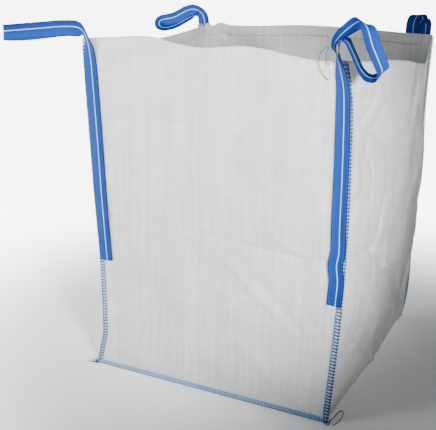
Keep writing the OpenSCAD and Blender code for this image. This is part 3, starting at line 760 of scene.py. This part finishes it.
BL_EYE = [(-494, 457, 1200, 0.95, 0.04, 0.3), (-508, 458, 1222, 0.78, -0.18, 0.6),
          (-537, 456, 1233, 0.4, -0.26, 0.88), (-567, 453, 1228, 0.1, -0.32, 0.94),
          (-594, 449, 1214, -0.06, -0.35, 0.93), (-625, 443, 1198, -0.02, -0.32, 0.95),
          (-657, 437, 1190, 0.03, -0.3, 0.95), (-681, 431, 1185, -0.19, -0.43, 0.88),
          (-693, 430, 1176, -0.45, -0.74, 0.5), (-695, 433, 1164, -0.31, -0.93, -0.21),
          (-682, 440, 1156, 0.19, -0.82, -0.55), (-651, 449, 1160, 0.45, -0.7, -0.5),
          (-616, 457, 1175, 0.6, -0.62, -0.47), (-575, 464, 1198, 0.7, -0.58, -0.38),
          (-540, 468, 1211, 0.86, -0.46, -0.1), (-512, 467, 1209, 0.98, -0.15, 0.09),
          (-497, 463, 1192, 0.99, 0.05, 0.1)]
BR_LEG = [(425, 453.4, 420, 1, 0, 0), (420, 453.4, 700, 1, 0, 0), (414, 453.4, 960, 1, 0, 0),
          (408, 453.4, 1120, 1, 0, 0), (405, 454, 1180, 1, 0, 0)]
BR_EYE = [(404, 457, 1212, 1, 0, 0), (407, 466, 1238, 1, 0, 0.05), (416, 486, 1252, 1, -0.1, 0.1),
          (424, 508, 1240, 1, 0, 0), (428, 520, 1195, 1, 0, 0), (430, 523, 1120, 1, 0, 0), (431, 522, 1040, 1, 0, 0),
          (432, 518, 1000, 1, 0, 0), (433, 511, 984, 1, 0, 0), (434, 503, 1000, 1, 0, 0), (436, 499, 1060, 1, 0, 0),
          (439, 498, 1130, 1, 0, 0), (442, 497, 1190, 1, 0, 0), (442, 490, 1226, 1, 0, 0), (436, 476, 1237, 1, 0, 0),
          (426, 465, 1224, 1, 0, 0), (412, 459, 1202, 1, 0, 0)]


def smooth_route(points, n=10):
    """A smooth curve through the points of a route, with n steps between neighbours."""
    p = np.array(points, float)
    q = np.vstack([2 * p[0] - p[1], p, 2 * p[-1] - p[-2]])
    out = []
    for i in range(1, len(q) - 2):
        a, b, c, d = q[i - 1], q[i], q[i + 1], q[i + 2]
        for k in range(n):
            t = k / n
            curve = 2 * b + (c - a) * t + (2 * a - 5 * b + 4 * c - d) * t**2 + (3 * b - a - 3 * c + d) * t**3
            out.append(0.5 * curve)
    out.append(q[-2])
    return np.array(out)


def even(points, step):
    """The same route with its points spaced evenly, and how far along each one lies."""
    s = distances(points[:, :3])
    d = np.linspace(0, s[-1], int(s[-1] / step))
    return np.stack([np.interp(d, s, points[:, k]) for k in range(points.shape[1])], 1), d


def route_frames(route):
    """Heading, width direction and face direction of the webbing along a route."""
    heading = headings_along(route[:, :3])
    across = route[:, 3:6] - heading * np.sum(route[:, 3:6] * heading, axis=1)[:, None]
    across = across / np.linalg.norm(across, axis=1)[:, None]
    return heading, across, np.cross(heading, across)


def second_leg(leg):
    """The other sewn leg: it lies one layer over the first, and runs back down."""
    other = np.array(leg, float)
    _, _, normal = route_frames(other)
    other[:, :3] += normal * LEG_GAP
    return other[::-1]


def webbing(corner, leg, eye):
    """One length of webbing: up the first leg, round the eye and down the second leg."""
    whole = np.vstack([np.array(leg, float), np.array(eye, float), second_leg(leg)])
    route, along = even(smooth_route(whole), 5.0)
    _, across, normal = route_frames(route)
    half_w, half_t = WEB_W / 2, WEB_T / 2
    # cross-section: flat faces with rounded selvedges, and slightly crowned halves beside the woven line
    section = [(-1.0, 0.0), (-0.985, 0.62), (-0.94, 0.95), (-0.7, 1.0), (-0.4, 1.06), (-0.1, 1.02), (0.08, 1.0),
               (0.16, 1.12), (0.24, 1.0), (0.5, 1.06), (0.75, 1.0), (0.94, 0.95), (0.985, 0.62), (1.0, 0.0),
               (0.985, -0.62), (0.94, -0.95), (0.5, -1.04), (0.16, -1.1), (-0.1, -1.0), (-0.5, -1.04),
               (-0.94, -0.95), (-0.985, -0.62)]
    rows = [route[:, :3] + across * half_w * a + normal * half_t * b for a, b in section]
    verts = np.stack(rows, 1)
    n, m = verts.shape[:2]
    i, j = np.meshgrid(np.arange(n - 1), np.arange(m), indexing="ij")
    a, b = i * m + j, i * m + (j + 1) % m
    faces = [tuple(f) for f in np.stack([a, b, b + m, a + m], -1).reshape(-1, 4)]
    faces += [tuple(range(m))[::-1], tuple(range((n - 1) * m, n * m))]
    uvs = np.stack([np.tile([(s[0] + 1) * half_w for s in section], (n, 1)), np.tile(along[:, None], (1, m))], 2)
    return new_mesh("webbing_" + corner, verts.reshape(-1, 3), faces, uvs.reshape(-1, 2), WEBBING)


def leg_stitches(corner, leg, out, direction):
    """The lines of stitches that sew a leg to its panel: two long rows, crossed at both ends."""
    route, _ = even(smooth_route(np.array(leg, float)), 6.0)
    keep = route[(route[:, 2] > 428) & (route[:, 2] < 1120)]
    _, across, normal = route_frames(keep)
    row = 20  # from the middle of the webbing to a long row
    lines = [keep[:, :3] + across * side + normal * out for side in (-row, row)]
    for z in (432, 446, 1096, 1112):
        k = np.argmin(np.abs(keep[:, 2] - z))
        lines.append(np.array([keep[k, :3] + across[k] * a + normal[k] * out for a in np.linspace(-row, row, 8)]))
    made = Strands()
    rise = np.array(direction, float) * np.array([-0.3, 0.3, 0.3, -0.3])[:, None]
    for line in lines:
        made.stitches(line, 7.5, 5.2, rise, 0.55)
    return made.build("stitches_" + corner, [BLUE_YARN])


# ---------- thread tails ----------

TAIL_TOP = [(403, -459, 1174), (400, -461, 1167), (393, -463, 1178), (392, -466, 1200), (400, -470, 1214),
            (396, -474, 1219), (387, -476, 1211), (377, -474, 1196), (372, -470, 1177), (376, -465, 1155),
            (386, -461, 1135), (400, -458, 1122)]
TAIL_FL = [(-454, -457, 4), (-462, -459, 3), (-472, -460, 2), (-484, -460, 2), (-496, -456, 2)]
TAIL_FR = [(460, -446, 8), (462, -425, 4), (463, -395, 2), (465, -368, 2), (472, -356, 2), (481, -366, 2),
           (486, -396, 2), (484, -428, 2), (476, -456, 2)]


def thread_tail(name, node, points, diameter):
    """A loose thread as a curve of its real length."""
    route = smooth_route([(x, y, z, 0, 0, 1) for x, y, z in points], 3)[:, :3]
    curve = bpy.data.curves.new(name, "CURVE")
    curve.dimensions = "3D"
    curve.bevel_depth = diameter / 2 * MM
    curve.bevel_resolution = 3
    curve.use_fill_caps = True
    spline = curve.splines.new("POLY")
    spline.points.add(len(route) - 1)
    for point, place in zip(spline.points, route):
        point.co = (*(place * MM), 1)
    curve.materials.append(TAIL_YARN)
    obj = bpy.data.objects.new(name, curve)
    bpy.context.scene.collection.objects.link(obj)
    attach(obj, "bag")
    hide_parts(node)


# ---------- putting the bag together ----------

def dress(obj, slot, *nodes):
    """Puts a piece on the bag's own body; the nodes are the CAD parts that it stands for."""
    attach(obj, "bag")
    if nodes:
        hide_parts(*nodes)


def build_bag():
    """Makes every piece and says which body it rides on, all but the webbing, which is left on none."""
    front, front_hem = front_panel()
    back, back_hem = back_panel()
    body, wall_hems = u_panel()
    dress(front, "woven_cloth", "front_panel")
    dress(front_hem, "woven_cloth")
    dress(back, "woven_cloth", "back_panel")
    dress(back_hem, "woven_cloth")
    dress(body, "woven_cloth", "u_panel")
    for hem in wall_hems:
        dress(hem, "woven_cloth")
    for place, obj in seam_threads().items():
        dress(obj, "overlock_yarn", "overlock_" + place)
    dress(seam_ends(), "overlock_yarn")
    for place, obj in hem_threads().items():
        dress(obj, "stitching_thread", "hem_thread_" + place)
    # out: the stitches' place on the two legs; reach: two lengths, before and after, given with the lean
    for corner, leg, eye, out, face, lean, reach in (
            ("front_left", FL_LEG, FL_EYE, -1.5, (0, -1, 0), (-0.5, -0.3, 0.8), (13, 20)),
            ("front_right", FR_LEG, FR_EYE, -1.5, (0, -1, 0), (0.6, -0.6, 0.5), (0, 34)),
            ("back_left", BL_LEG, BL_EYE, 4.1, (0, 1, 0), (-0.8, 0.0, 0.6), (16, 26)),
            ("back_right", BR_LEG, BR_EYE, 4.1, (0, 1, 0), (0, 1, 0), (6, 32))):
        web = webbing(corner, leg, eye)
        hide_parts("outer_leg_" + corner, "inner_leg_" + corner, "lifting_loop_" + corner)
        lean = Vector(lean).normalized()
        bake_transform(web)
        stitches = leg_stitches(corner, leg, out, face)
        dress(stitches, "stitching_thread", "leg_stitching_" + corner)
    thread_tail("thread_tail_top_yarn", "thread_tail_top", TAIL_TOP, 2.4)
    thread_tail("thread_tail_front_left_yarn", "thread_tail_front_left", TAIL_FL, 3)
    thread_tail("thread_tail_front_right_yarn", "thread_tail_front_right", TAIL_FR, 3)


# ---------- camera, floor and light ----------

def place_camera():
    """The camera stands in front of the bag's right side, a little above its rim."""
    spot = Vector((1.2095, -2.7664, 1.4769))
    yaw, pitch, roll = math.radians(-26.72), math.radians(17.585), math.radians(0.676)
    ahead = Vector((math.sin(yaw) * math.cos(pitch), math.cos(yaw) * math.cos(pitch), -math.sin(pitch)))
    right = Vector((math.cos(yaw), -math.sin(yaw), 0))
    up = right.cross(ahead)
    right, up = right * math.cos(roll) + up * math.sin(roll), up * math.cos(roll) - right * math.sin(roll)
    data = bpy.data.cameras.new("camera")
    data.lens, data.sensor_width = 68.92, 36
    data.clip_end = 100
    camera = bpy.data.objects.new("camera", data)
    camera.matrix_world = Matrix(((right.x, up.x, -ahead.x, spot.x), (right.y, up.y, -ahead.y, spot.y),
                                  (right.z, up.z, -ahead.z, spot.z), (0, 0, 0, 1)))
    bpy.context.scene.collection.objects.link(camera)
    bpy.context.scene.camera = camera


def towards(place, target):
    """The turn that points a lamp from its place to its target."""
    return (Vector(target) - Vector(place)).to_track_quat("-Z", "Y").to_euler()


def area_light(name, place, target, size, power, colour):
    """A soft round lamp that isn't seen itself."""
    data = bpy.data.lights.new(name, "AREA")
    data.shape = "DISK"
    data.size, data.energy, data.color = size, power, colour
    lamp = bpy.data.objects.new(name, data)
    lamp.location = place
    lamp.visible_camera = False
    lamp.rotation_euler = towards(place, target)
    bpy.context.scene.collection.objects.link(lamp)


def window_light(place, target, cone, power):
    """Light from a window at the front right: it reaches the front half of the right wall and falls off behind."""
    data = bpy.data.lights.new("window", "SPOT")
    data.spot_size, data.spot_blend, data.shadow_soft_size, data.energy = math.radians(cone), 0.25, 0.2, power
    lamp = bpy.data.objects.new("window", data)
    lamp.location = place
    lamp.rotation_euler = towards(place, target)
    bpy.context.scene.collection.objects.link(lamp)


def set_stage():
    """A plain white floor that runs out of sight, soft daylight and one window-like light at the front right."""
    n = Nodes("floor_white")
    n.put(n.shader.inputs["Base Color"], (0.8, 0.8, 0.8, 1))
    n.put(n.shader.inputs["Roughness"], 0.9)
    n.put(n.shader.inputs["Specular IOR Level"], 0.0)
    # the floor fades into a bright white sweep away from the bag
    place = n.add("ShaderNodeTexCoord").outputs["Object"]
    far = n.add("ShaderNodeVectorMath", {0: place}, operation="LENGTH").outputs["Value"]
    split = n.add("ShaderNodeSeparateXYZ", {0: place})
    behind = n.math("SUBTRACT", n.math("MULTIPLY", split.outputs[1], 0.35), split.outputs[0])
    sweep = n.span(behind, (-0.9, 0.7), (0.07, 1.0), interpolation_type="SMOOTHERSTEP")
    n.put(n.shader.inputs["Emission Color"], (1, 1, 1, 1))
    glow = n.span(far, (0.6, 2.2), (0.9, 7.0), interpolation_type="SMOOTHERSTEP")
    horizon = n.span(far, (3.0, 9.0), (0.0, 1.6))
    n.put(n.shader.inputs["Emission Strength"], n.math("MAXIMUM", n.math("MULTIPLY", glow, sweep), horizon))
    reach, level = 30000, -0.3
    corners = [(x * reach, y * reach, level) for x, y in ((-1, -1), (1, -1), (1, 1), (-1, 1))]
    floor = new_mesh("floor", corners, [(0, 1, 2, 3)], None, n.material)
    world = bpy.data.worlds.new("daylight")
    world.use_nodes = True
    sky = world.node_tree
    height = sky.nodes.new("ShaderNodeSeparateXYZ")
    sky.links.new(sky.nodes.new("ShaderNodeTexCoord").outputs["Generated"], height.inputs[0])
    fade = sky.nodes.new("ShaderNodeMapRange")
    sky.links.new(height.outputs[2], fade.inputs["Value"])
    for key, value in (("From Min", 0.03), ("From Max", 0.15), ("To Min", 1.5), ("To Max", 0.09)):
        fade.inputs[key].default_value = value
    sky.links.new(fade.outputs[0], sky.nodes["Background"].inputs["Strength"])
    sky.nodes["Background"].inputs["Color"].default_value = (0.97, 0.985, 1, 1)
    bpy.context.scene.world = world
    area_light("sky", (-1.5, -2.3, 3.0), (-0.1, -0.45, 0.6), 0.9, 26, (0.96, 0.98, 1.0))
    window_light((2.2, -2.6, 1.7), (-0.05, -0.45, 0.84), 28.6, 900)


place_camera()
build_bag()
set_stage()
